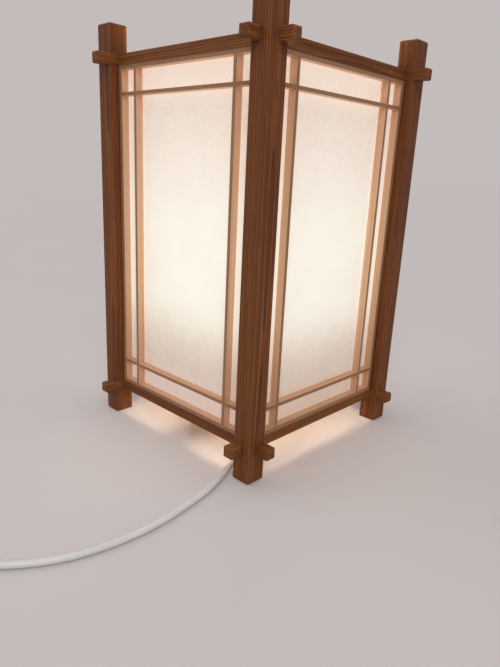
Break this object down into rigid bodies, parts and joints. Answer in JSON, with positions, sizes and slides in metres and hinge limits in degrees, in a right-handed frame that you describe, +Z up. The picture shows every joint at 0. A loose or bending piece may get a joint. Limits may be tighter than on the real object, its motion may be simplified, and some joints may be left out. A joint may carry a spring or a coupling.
{
  "type": "andon floor lamp",
  "caption": "Square floor lantern with a wooden frame of posts and crossing rails, paper shoji panels on its sides, a bulb inside and a mains cord with switch and plug.",
  "frame": {"origin": "on the floor at the centre of the lantern's square footprint", "axes": "+Z up; -Y is the front, the side the cord leaves under; +X is the right side"},
  "size_m": [0.319, 0.6682, 0.5],
  "materials": {
    "frame_wood": "dark stained and oiled, straight grain, eased edges",
    "lattice_wood": "planed softwood, unfinished",
    "shoji_paper": "translucent mulberry paper with fine fibres",
    "screw_steel": "zinc plated",
    "holder_phenolic": "moulded phenolic",
    "brass": "stamped",
    "nickelled_cap": "nickel plated, rolled thread",
    "bulb_plastic": "satin",
    "bulb_diffuser": "opal",
    "rocker_plastic": "satin",
    "switch_plastic": "fine moulded grain",
    "plug_pvc": "satin flexible PVC",
    "cord_pvc": "smooth flexible PVC"
  },
  "bodies": {
    "lantern": {"back_panel_bottom_rail": "lattice_wood", "back_panel_kumiko_crossbars": "lattice_wood", "back_panel_kumiko_uprights": "lattice_wood", "back_panel_left_stile": "lattice_wood", "back_panel_paper": "shoji_paper", "back_panel_right_stile": "lattice_wood", "back_panel_top_rail": "lattice_wood", "cord_coil": "cord_pvc", "cord_strain_relief": "cord_pvc", "cord_to_plug": "cord_pvc", "cord_to_switch": "cord_pvc", "cross_bar": "frame_wood", "cross_bar_screws": "screw_steel", "front_panel_bottom_rail": "lattice_wood", "front_panel_kumiko_crossbars": "lattice_wood", "front_panel_kumiko_uprights": "lattice_wood", "front_panel_left_stile": "lattice_wood", "front_panel_paper": "shoji_paper", "front_panel_right_stile": "lattice_wood", "front_panel_top_rail": "lattice_wood", "lamp_holder_base": "holder_phenolic", "lamp_holder_contact": "brass", "lamp_holder_screws": "screw_steel", "lamp_holder_shell": "holder_phenolic", "lamp_holder_sleeve": "brass", "left_panel_bottom_rail": "lattice_wood", "left_panel_kumiko_crossbars": "lattice_wood", "left_panel_kumiko_uprights": "lattice_wood", "left_panel_left_stile": "lattice_wood", "left_panel_paper": "shoji_paper", "left_panel_right_stile": "lattice_wood", "left_panel_top_rail": "lattice_wood", "plug_blades": "brass", "plug_body": "plug_pvc", "post_back_left": "frame_wood", "post_back_right": "frame_wood", "post_front_left": "frame_wood", "post_front_right": "frame_wood", "rail_bottom_back": "frame_wood", "rail_bottom_front": "frame_wood", "rail_bottom_left": "frame_wood", "rail_bottom_right": "frame_wood", "rail_top_back": "frame_wood", "rail_top_front": "frame_wood", "rail_top_left": "frame_wood", "rail_top_right": "frame_wood", "right_panel_bottom_rail": "lattice_wood", "right_panel_kumiko_crossbars": "lattice_wood", "right_panel_kumiko_uprights": "lattice_wood", "right_panel_left_stile": "lattice_wood", "right_panel_paper": "shoji_paper", "right_panel_right_stile": "lattice_wood", "right_panel_top_rail": "lattice_wood", "riser_block": "frame_wood", "switch_lower_shell": "switch_plastic", "switch_upper_shell": "switch_plastic"},
    "bulb": {"bulb_cap": "nickelled_cap", "bulb_housing": "bulb_plastic", "bulb_diffuser": "bulb_diffuser"},
    "rocker": {"switch_rocker": "rocker_plastic"}
  },
  "joints": [
    {"name": "bulb_lift", "type": "slide", "parent": "lantern", "child": "bulb", "axis": [0, 0, 1], "range_m": [0, 0.036]},
    {"name": "switch_rock", "type": "hinge", "parent": "lantern", "child": "rocker", "pos_m": [0.022, -0.457, 0.015], "axis": [-0.6, 0.8, 0], "range_deg": [0, 16]}
  ]
}
